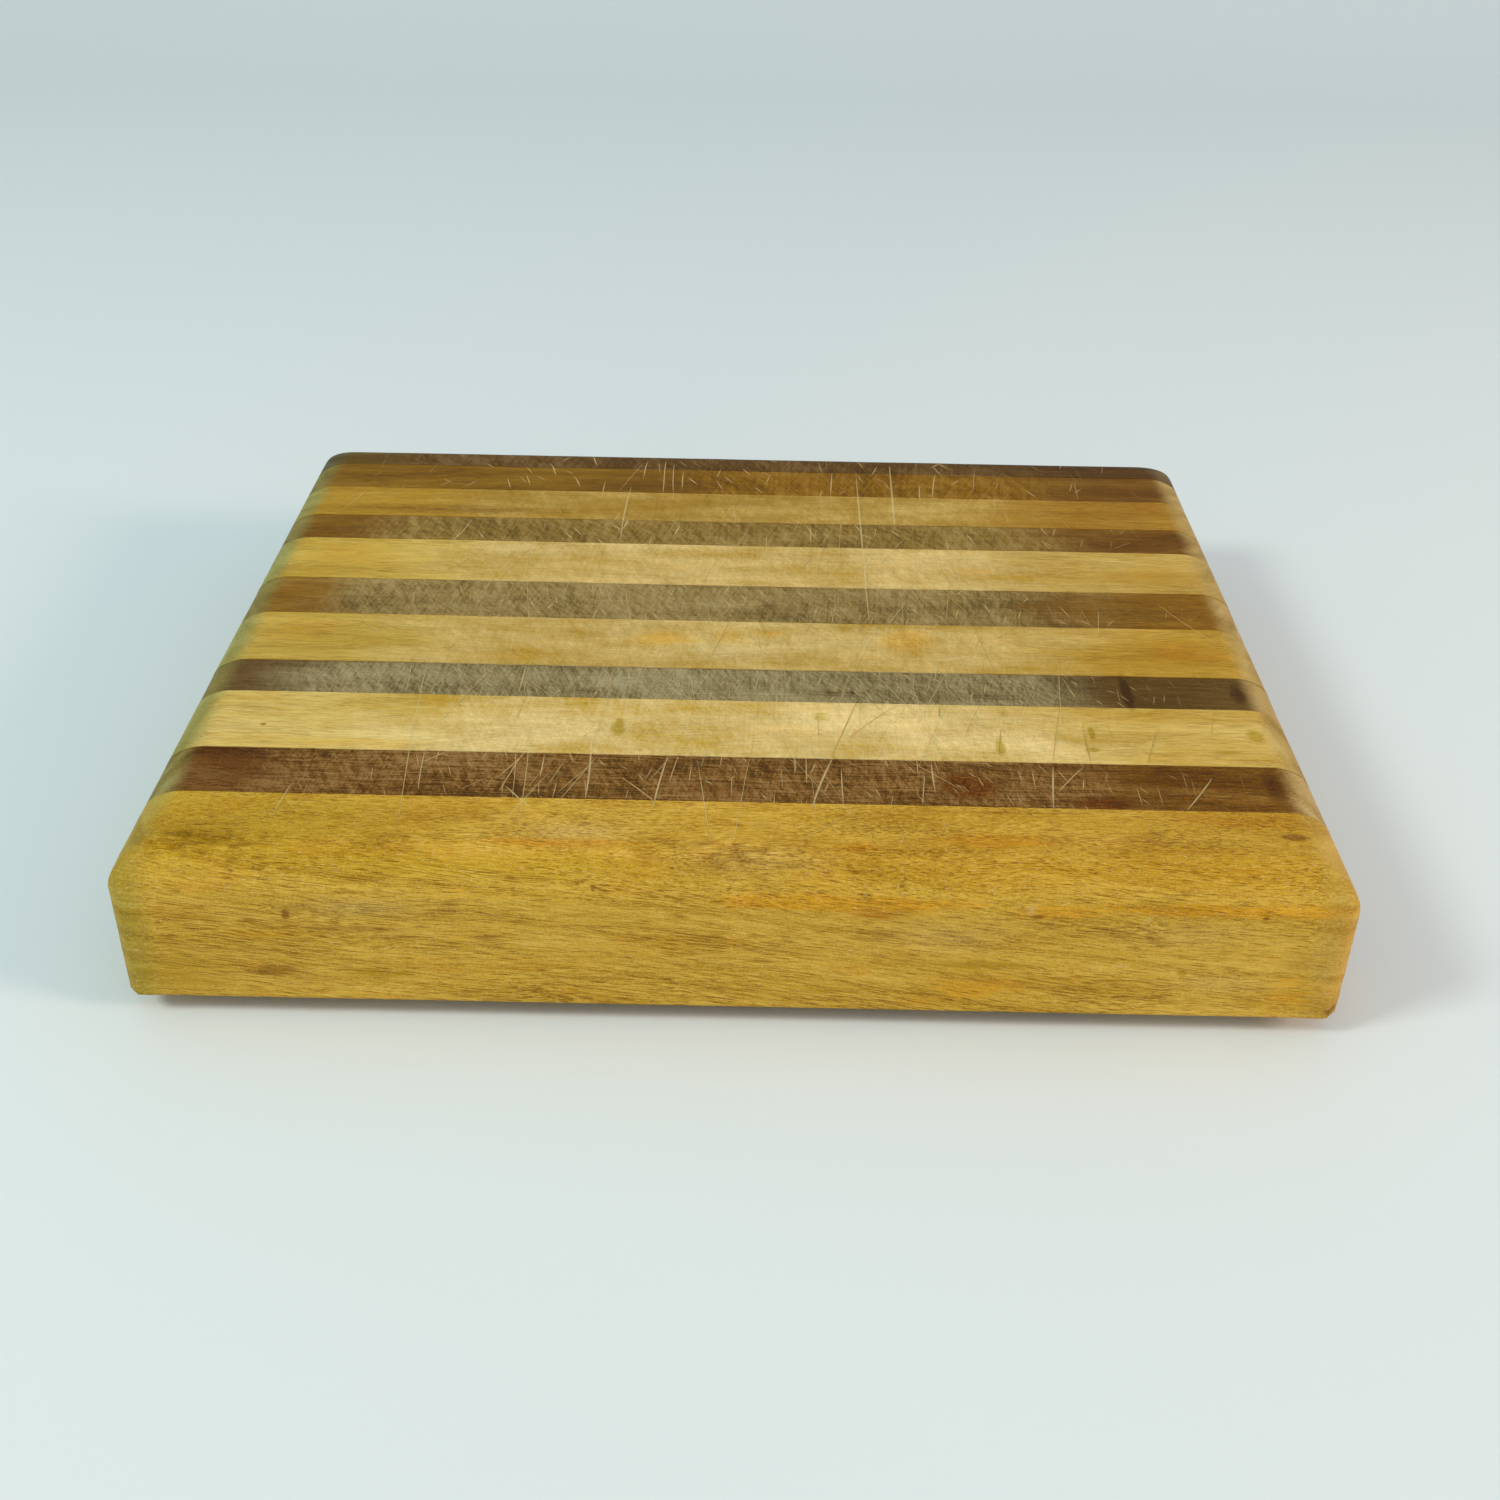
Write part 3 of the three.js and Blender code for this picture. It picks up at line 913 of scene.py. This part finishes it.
def wood_material(name, look):
    """Solid wood: growth bands, fibres, pores, wear, stains, knife marks and end grain, with
    painted light: a brightened upright face, and a painted reflection and sheen on the rounded
    ends.
    """
    material, t = new_material(name)
    place = t.place()
    mm = t.vector("MULTIPLY", place, (1000.0, 1000.0, 1000.0))
    seed = look["seed"]
    shifted = t.vector("ADD", mm, (seed * 83.0, seed * 31.0, seed * 57.0))
    grain = t.turn(shifted, y=look["slant"], z=look["drift"])
    wander = t.noise(grain, (0.009, 0.03, 0.03), 2.0, colour=True)
    wander = t.vector("SUBTRACT", wander, (0.5, 0.5, 0.5))
    grain = t.vector("ADD", grain, t.vector("MULTIPLY", wander, (0.0, 11.0, 11.0)))
    spot = t.split(mm)
    rim = t.attribute("rim")

    # Growth bands round a pith that lies off to one side of the strip.
    from_pith = t.vector("ADD", grain, (0.0, look["pith"][0], look["pith"][1]))
    radius = t.vector("LENGTH", t.vector("MULTIPLY", from_pith, (0.0, 1.0, 1.0)))
    bands = t.noise_line(t.math("MULTIPLY", radius, look["ring_rate"]), 3.0, 0.6)
    fibres = t.noise(grain, (0.045, 1.3, 1.3), 3.0, 0.62)
    threads = t.noise(grain, (0.24, 3.4, 3.4), 2.0, 0.6)
    clouds = t.noise(shifted, (0.016, 0.06, 0.06), 3.0, 0.55)
    speckle = t.noise(shifted, (1.3, 1.5, 1.5), 3.0, 0.7)
    mottle = t.noise(shifted, (0.05, 0.12, 0.12), 2.0, 0.5)
    tone = t.blend(
        0.5,
        (bands, look["bands"]),
        (fibres, look["fibres"]),
        (threads, look["threads"]),
        (clouds, look["clouds"]),
        (speckle, look["speckle"]),
    )
    fresh_left = t.ramp(tone, shades(look["left"], look["contrast"], look["fall"]))
    fresh_right = t.ramp(tone, shades(look["right"], look["contrast"], look["fall"]))
    colour = t.mix(t.span(spot[0], *FADE_ACROSS), fresh_left, fresh_right)

    # The upright face has its own ramp, set brighter than the top's to make up for the weaker
    # light on it: partly painted light.
    face_colour_with_painted_light = t.ramp(tone, shades(look["face"], look["contrast"]))
    colour = t.mix(t.span(rim, 0.05, 0.75), colour, face_colour_with_painted_light)

    # The middle of the top is scraped paler and greyer, with brushed scuffs.
    lines = t.node("ShaderNodeGroup")
    lines.node_tree = HAIRLINES
    t.feed(lines.inputs[0], t.vector("MULTIPLY", mm, (look["mark_scale"],) * 3))
    worn_noise = t.noise(shifted, (0.028, 0.06, 0.0), 3.0, 0.6)
    worn_low = t.span(spot[0], look["worn_from"][0], look["worn_from"][1])
    worn_high = t.span(spot[0], look["worn_to"][1], look["worn_to"][0])
    worn = t.math("MULTIPLY", worn_low, worn_high)
    worn = t.blend(worn, (worn_noise, look["worn_patches"]))
    worn = t.math("MULTIPLY", t.span(worn, 0.15, 0.85), t.span(rim, 0.22, 0.03))
    worn_tone = t.blend(
        0.5,
        (lines.outputs[1], look["scuffs"]),
        (fibres, look["fibres"] * look["worn_grain"]),
        (threads, look["threads"] * look["worn_grain"]),
        (clouds, look["clouds"] * 1.2),
        (mottle, look["mottle"]),
        (speckle, look["speckle"] * 0.8),
    )
    worn_colour = t.ramp(worn_tone, shades(look["worn"], look["contrast"], look["worn_fall"]))
    colour = t.mix(worn, colour, worn_colour)

    # Open pores: short dark dashes along the grain, in loose groups.
    dashes = t.noise(grain, (0.13, 4.4, 4.4), 1.0, 0.5)
    groups = t.noise(grain, (0.02, 0.16, 0.16), 1.0)
    pores = t.span(t.blend(dashes, (groups, 0.35)), 0.57, 0.68)
    hidden = t.math("MULTIPLY_ADD", worn, -look["pore_hiding"], 1.0)
    pore_share = t.math("MULTIPLY", t.math("MULTIPLY", pores, look["pore_strength"]), hidden)
    colour = t.mix(pore_share, colour, look["pore_colour"], blend="MULTIPLY")

    # End grain on the sawn ends and round the shoulders. On the rounded-over ends the left colour
    # holds a painted olive reflection of the bluish backdrop, and the right colour a painted pale
    # sheen from the right lamp. The upright end walls take the plain end-grain colour.
    end = t.attribute("end_grain")
    end_tone = t.blend(0.5, (speckle, 1.2), (bands, 1.0), (clouds, 1.0))
    end_grain_and_sheen_colour = t.mix(
        t.span(spot[0], -1.0, 1.0),
        t.ramp(end_tone, shades(look["end_left_grain_and_reflection"], look["contrast"])),
        t.ramp(end_tone, shades(look["end_right_grain_and_sheen"], look["contrast"])),
    )
    end_wall = t.ramp(end_tone, shades(look["end_wall"], look["contrast"]))
    end_grain_and_sheen_colour = t.mix(t.span(end, 0.76, 0.99), end_grain_and_sheen_colour, end_wall)
    end_share = t.span(t.blend(end, (clouds, 0.3), (speckle, 0.15)), 0.02, 0.55, 0.0, 0.95)
    colour = t.mix(end_share, colour, end_grain_and_sheen_colour)

    # Stains and local marks, with edges roughened by the grain.
    ragged = t.blend(0.0, (fibres, 1.0), (threads, 0.7), (clouds, 0.6), (speckle, 0.4))

    def stained(colour, share_of, tint, strength):
        share = t.math("ADD", share_of, t.math("MULTIPLY", ragged, 1.7))
        share = t.span(share, 0.2, 0.8, 0.0, strength)
        present = t.span(share_of, 0.04, 0.25)
        return t.mix(t.math("MULTIPLY", share, present), colour, tint, blend="MULTIPLY")

    for kind, (tint, strength) in STAINS.items():
        colour = stained(colour, t.attribute(kind), tint, strength)
    blotches = t.noise(shifted, (0.05, 0.12, 0.12), 3.0, 0.6)
    blotch_share = t.span(blotches, 0.54, 0.7, 0.0, look["stain_strength"])
    colour = t.mix(blotch_share, colour, look["stain_colour"], blend="MULTIPLY")
    pale = t.math("MULTIPLY", t.attribute("pale"), t.span(speckle, 0.3, 0.62, 0.35, 1.0))
    colour = t.mix(t.math("MULTIPLY", pale, 0.5), colour, look["pale_colour"])
    fuzz = t.noise(shifted, (1.1, 2.4, 2.4), 2.0, 0.7)
    colour = t.mix(t.span(fuzz, 0.57, 0.72, 0.0, look["fuzz"]), colour, look["pale_colour"])
    torn = t.math("MULTIPLY", t.attribute("torn"), 0.55)
    colour = t.mix(torn, colour, look["pore_colour"], blend="MULTIPLY")

    # Hairlines and deep cuts.
    hair = t.math("MULTIPLY", lines.outputs[0], t.span(rim, 0.3, 0.0))
    reach = t.math("MULTIPLY", t.span(spot[0], -150.0, -60.0), t.span(spot[0], 150.0, 80.0))
    hair = t.math("MULTIPLY", hair, t.math("MULTIPLY", reach, look["hair_strength"]))
    colour = t.mix(hair, colour, look["line_colour"])
    cut = t.span(t.attribute("cut"), 0.05, 0.8)
    dirt = t.attribute("cut_dirt")
    cut_colour = t.mix(dirt, look["line_colour"], look["dirt_colour"])
    colour = t.mix(t.math("MULTIPLY", cut, look["cut_strength"]), colour, cut_colour)

    height = t.blend(
        0.0,
        (fibres, 0.5),
        (threads, 0.5),
        (speckle, 0.8),
        (pores, -0.6),
        (hair, -0.8),
    )
    bump = t.bump(height, WOOD_BUMP_STRENGTH, WOOD_BUMP_HEIGHT)
    rough = t.blend(look["roughness"], (fibres, 0.3), (speckle, 0.3), (worn, 0.1))
    shader = t.surface(colour, rough, bump)
    shader.inputs["Specular IOR Level"].default_value = WOOD_SPECULAR
    return material


# A look: weights of the noises, worn stretch along X in millimetres, and 8-bit or ramp colours.
# In each look the face colour is the upright face's, set brighter than the top to make up for the
# weaker light on it: partly painted light. The left and right end colours are end grain with
# painted light on the rounded-over ends: an olive reflection of the bluish backdrop on the left,
# and a pale sheen from the right lamp on the right. The end wall colour is the plain end grain.
LIGHT_WOOD = {
    "slant": 0.8, "drift": 0.4, "pith": (-60.0, 90.0), "ring_rate": 0.2, "bands": 0.9,
    "fibres": 1.0, "threads": 0.7, "clouds": 1.3, "mottle": 1.2, "mark_scale": 1.0,
    "worn_grain": 0.6, "pore_hiding": 0.7, "face": (186, 152, 76), "speckle": 0.5, "fuzz": 0.2,
    "contrast": 1.0, "fall": (0.12, 0.19, 0.6), "worn_fall": (0.1, 0.17, 0.56),
    "pore_strength": 0.5, "pore_colour": (0.5, 0.4, 0.25, 1.0), "end_left_grain_and_reflection": (158, 146, 72),
    "end_right_grain_and_sheen": (178, 146, 76), "end_wall": (176, 146, 88), "worn_from": (-145.0, -40.0),
    "worn_to": (40.0, 140.0), "worn_patches": 1.0, "scuffs": 0.5, "stain_strength": 0.45,
    "stain_colour": (0.95, 0.78, 0.5, 1.0), "pale_colour": srgb(216, 188, 128),
    "hair_strength": 0.22, "line_colour": srgb(242, 214, 152), "dirt_colour": srgb(190, 148, 66),
    "cut_strength": 0.75, "roughness": 0.5,
}
# Dark wood: the pale right end colour is a painted sheen from the right lamp, and the olive left
# end colour is a painted reflection, both laid over the end grain.
DARK_WOOD = {
    **LIGHT_WOOD, "ring_rate": 0.3, "face": (104, 74, 34), "mottle": 0.5,
    "pore_colour": (0.5, 0.42, 0.32, 1.0), "pore_strength": 0.6, "end_left_grain_and_reflection": (136, 117, 50),
    "end_right_grain_and_sheen": (180, 148, 84), "end_wall": (122, 92, 58), "worn_from": (-148.0, -95.0),
    "worn_to": (50.0, 150.0), "worn_patches": 0.9, "scuffs": 1.0, "fibres": 1.2, "contrast": 0.9,
    "fall": (0.24, 0.3, 0.6), "worn_fall": (0.3, 0.33, 0.42), "stain_strength": 0.25,
    "hair_strength": 0.85, "pale_colour": srgb(170, 150, 108), "line_colour": srgb(224, 190, 132),
    "dirt_colour": srgb(60, 40, 16), "cut_strength": 0.9,
}

# Colours of the top, front to back: at the left end, in the worn middle, at the right end.
STRIP_COLOURS = (
    ((189, 145, 33), (206, 157, 51), (191, 142, 36)),
    ((102, 56, 4), (124, 82, 29), (120, 74, 7)),
    ((218, 183, 99), (222, 187, 115), (211, 171, 83)),
    ((107, 77, 39), (147, 128, 85), (98, 68, 21)),
    ((198, 161, 69), (204, 168, 94), (189, 143, 45)),
    ((138, 93, 18), (150, 122, 68), (140, 93, 11)),
    ((204, 164, 65), (210, 173, 99), (197, 156, 69)),
    ((126, 81, 4), (145, 112, 50), (117, 72, 4)),
    ((179, 134, 33), (182, 141, 61), (172, 122, 29)),
    ((136, 93, 5), (140, 94, 13), (119, 74, 4)),
    ((103, 75, 18), (105, 72, 29), (89, 54, 6)),
)
# What else differs from strip to strip.
STRIP_LOOKS = (
    {
        # The front strip: its face colour is brightened as painted light, and its left and right
        # end colours carry the painted reflection and sheen.
        "fall": (0.17, 0.24, 0.62), "worn_fall": (0.17, 0.24, 0.62), "slant": -6.0,
        "pith": (150.0, 120.0), "face": (206, 161, 58), "end_left_grain_and_reflection": (178, 146, 52),
        "end_right_grain_and_sheen": (190, 149, 60), "end_wall": (176, 146, 84), "worn_grain": 1.3,
        "pore_hiding": 0.0, "clouds": 0.6, "fibres": 0.85, "bands": 0.7, "worn_patches": 1.2,
        "scuffs": 0.2, "hair_strength": 0.0, "speckle": 1.0, "fuzz": 0.6, "threads": 1.4,
        "contrast": 0.9, "pore_strength": 0.85,
    },
    {
        "contrast": 1.2, "mottle": 0.5, "clouds": 1.0, "worn_grain": 1.5, "speckle": 1.1,
        "threads": 1.3, "fibres": 1.4, "pore_strength": 0.8,
    },
    {"drift": -0.5},
    {"worn_from": (-152.0, -96.0), "worn_to": (50.0, 138.0), "scuffs": 1.1},
    {"mark_scale": 0.85, "drift": 0.6},
    {"mark_scale": 0.8, "worn_from": (-160.0, -90.0), "scuffs": 1.0},
    {"mark_scale": 0.75},
    {"mark_scale": 0.65},
    {"mark_scale": 0.6},
    {"mark_scale": 0.6, "worn_from": (-60.0, 20.0)},
    {
        # The back strip's left and right end colours also carry the painted reflection and sheen.
        "end_left_grain_and_reflection": (88, 76, 42), "end_right_grain_and_sheen": (118, 94, 54), "end_wall": (96, 72, 46),
        "mark_scale": 0.6,
    },
)


def glue_material():
    material, t = new_material("glue_line")
    place = t.place()
    patches = t.noise(place, (90.0, 90.0, 90.0), 3.0, 0.6)
    colour = t.ramp(patches, [(0.3, srgb(58, 36, 18)), (0.7, srgb(112, 80, 46))])
    t.surface(colour, t.math("MULTIPLY_ADD", patches, 0.3, 0.4))
    return material


def rubber_material():
    material, t = new_material("foot_rubber")
    place = t.place()
    grime = t.noise(place, (260.0, 260.0, 260.0), 4.0, 0.65)
    speck = t.noise(place, (2400.0, 2400.0, 2400.0), 2.0, 0.6)
    colour = t.ramp(grime, [(0.35, srgb(30, 29, 28)), (0.75, srgb(66, 62, 57))])
    bump = t.bump(speck, 0.35, 0.00015)
    t.surface(colour, t.math("MULTIPLY_ADD", grime, 0.3, 0.6), bump)
    return material


def steel_material():
    material, t = new_material("screw_steel")
    place = t.place()
    haze = t.noise(place, (700.0, 700.0, 700.0), 4.0, 0.6)
    colour = t.ramp(haze, [(0.3, srgb(150, 148, 144)), (0.7, srgb(205, 204, 200))])
    shader = t.surface(colour, t.math("MULTIPLY_ADD", haze, 0.3, 0.22))
    shader.inputs["Metallic"].default_value = 1.0
    return material


# ---------------- build the board
for place, (node, drop) in enumerate(zip(STRIPS, STRIP_DROPS)):
    low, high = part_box(node)
    low_y = low.y / MM if place else -HALF_Y
    high_y = high.y / MM if place < len(STRIPS) - 1 else HALF_Y
    strip = board_piece(node.replace("strip", "wood_strip"), low_y, high_y, drop)
    base = LIGHT_WOOD if place % 2 == 0 and place < 10 else DARK_WOOD
    left, worn, right = STRIP_COLOURS[place]
    look = {**base, **STRIP_LOOKS[place], "left": left, "worn": worn, "right": right}
    look["seed"] = place + 1.0
    strip.data.materials.append(wood_material("wood_%02d" % (place + 1), look))
    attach(strip, "root")
    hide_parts(node)

GLUE = glue_material()
for place, node in enumerate(GLUES):
    low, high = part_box(node)
    drop = max(STRIP_DROPS[place], STRIP_DROPS[place + 1]) + GLUE_DROP
    line = board_piece(node.replace("glue", "glue_line"), low.y / MM, high.y / MM, drop)
    line.data.materials.append(GLUE)
    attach(line, "root")
    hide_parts(node)

RUBBER = rubber_material()
STEEL = steel_material()
for name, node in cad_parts.items():
    if name.startswith("foot_"):
        node.data.materials.clear()
        node.data.materials.append(RUBBER)
    elif name.startswith(("washer_", "screw_")):
        node.data.materials.clear()
        node.data.materials.append(STEEL)


# ---------------- floor, light and camera
def stage_material():
    material, t = new_material("backdrop_paper")
    shader = t.surface(srgb(226, 229, 226), 0.75)
    shader.inputs["Specular IOR Level"].default_value = 0.2
    return material


# In metres.
BACKDROP_REACH = 7.0
BACKDROP_TOP = 3.0


def make_backdrop():
    """A paper sweep: flat under the board, curving up far behind it."""
    flat_end, bend, steps = 0.9, 0.8, 12
    profile = [(-BACKDROP_REACH, 0.0), (flat_end, 0.0)]
    for step in range(1, steps + 1):
        angle = (math.pi / 2) * step / steps
        profile.append((flat_end + bend * math.sin(angle), bend * (1 - math.cos(angle))))
    profile.append((flat_end + bend, BACKDROP_TOP))
    bm = bmesh.new()
    sides = (-BACKDROP_REACH, BACKDROP_REACH)
    rows = [[bm.verts.new((x, y, z)) for y, z in profile] for x in sides]
    for i in range(len(profile) - 1):
        face = bm.faces.new((rows[0][i], rows[1][i], rows[1][i + 1], rows[0][i + 1]))
        face.smooth = True
    mesh = bpy.data.meshes.new("backdrop_shape")
    bm.to_mesh(mesh)
    bm.free()
    backdrop = bpy.data.objects.new("backdrop", mesh)
    backdrop.data.materials.append(stage_material())
    bpy.context.scene.collection.objects.link(backdrop)


def area_light(name, place, target, size, power, colour):
    data = bpy.data.lights.new(name, "AREA")
    data.shape = "RECTANGLE"
    data.size, data.size_y = size
    data.energy = power
    data.color = colour
    light = bpy.data.objects.new(name, data)
    light.location = place
    aim = Vector(target) - Vector(place)
    light.rotation_euler = aim.to_track_quat("-Z", "Y").to_euler()
    bpy.context.scene.collection.objects.link(light)


make_backdrop()
area_light("left_light", (-1.15, -0.68, 1.2), (0, 0, 0.03), (0.38, 0.38), 12.0, (0.87, 1.0, 0.94))
area_light("right_light", (1.5, -0.55, 0.72), (0, 0, 0.03), (0.4, 0.4), 15.0, (1.0, 0.74, 0.62))

world = bpy.data.worlds.new("studio")
world.use_nodes = True
background = world.node_tree.nodes["Background"]
background.inputs[0].default_value = (0.74, 0.9, 1.0, 1.0)
background.inputs[1].default_value = 0.67
bpy.context.scene.world = world

CAMERA_PLACE = Vector((0.00417, -0.47191, 0.30377))
CAMERA_YAW = math.radians(-0.1446)
CAMERA_PITCH = math.radians(32.6181)
CAMERA_ROLL = math.radians(-1.0682)
FOCAL_MM = 42.79

forward = Vector(
    (
        math.sin(CAMERA_YAW) * math.cos(CAMERA_PITCH),
        math.cos(CAMERA_YAW) * math.cos(CAMERA_PITCH),
        -math.sin(CAMERA_PITCH),
    )
)
level = Vector((math.cos(CAMERA_YAW), -math.sin(CAMERA_YAW), 0.0))
down = forward.cross(level)
right = level * math.cos(CAMERA_ROLL) + down * math.sin(CAMERA_ROLL)
up = -(down * math.cos(CAMERA_ROLL) - level * math.sin(CAMERA_ROLL))
camera_data = bpy.data.cameras.new("camera")
camera_data.sensor_width = 36.0
camera_data.lens = FOCAL_MM
camera_data.clip_start = 0.01
camera = bpy.data.objects.new("camera", camera_data)
camera.matrix_world = Matrix.Translation(CAMERA_PLACE) @ Matrix(
    (right, up, -forward)
).transposed().to_4x4()
bpy.context.scene.collection.objects.link(camera)
bpy.context.scene.camera = camera
bpy.context.scene.view_settings.view_transform = "Standard"
